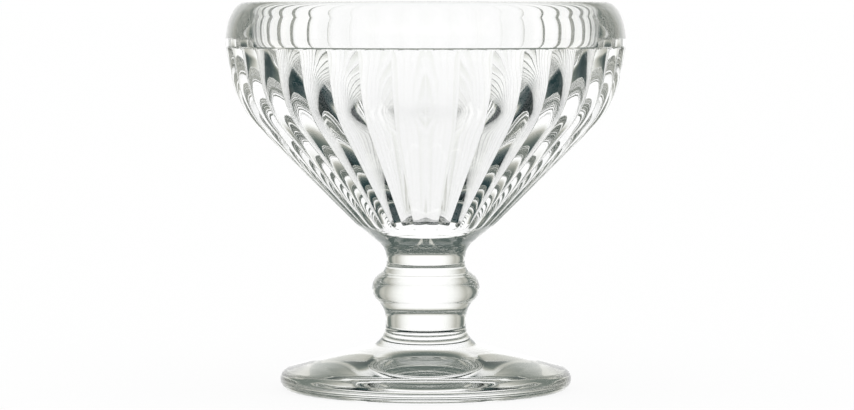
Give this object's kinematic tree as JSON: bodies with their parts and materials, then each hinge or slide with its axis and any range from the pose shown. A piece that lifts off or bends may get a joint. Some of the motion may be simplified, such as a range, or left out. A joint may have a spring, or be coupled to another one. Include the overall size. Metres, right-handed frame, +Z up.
{
  "type": "footed dessert glass",
  "caption": "Footed dessert glass in clear pressed glass: ribbed conical bowl with a smooth rim band, knopped stem and disc foot.",
  "frame": {"origin": "centre of the foot's resting ring, on the table", "axes": "+Z up along the glass's axis; +X through the middle of a rib; -Y, through a groove, faces the viewer of the picture; the bowl repeats every 360/38 degrees about Z"},
  "size_m": [0.1032, 0.103, 0.1],
  "materials": {
    "clear_glass": "fire-polished clear soda-lime glass with a faint grey-green tint in thick places"
  },
  "bodies": {
    "root": {"bowl": "clear_glass", "stem": "clear_glass", "foot": "clear_glass"}
  },
  "joints": []
}
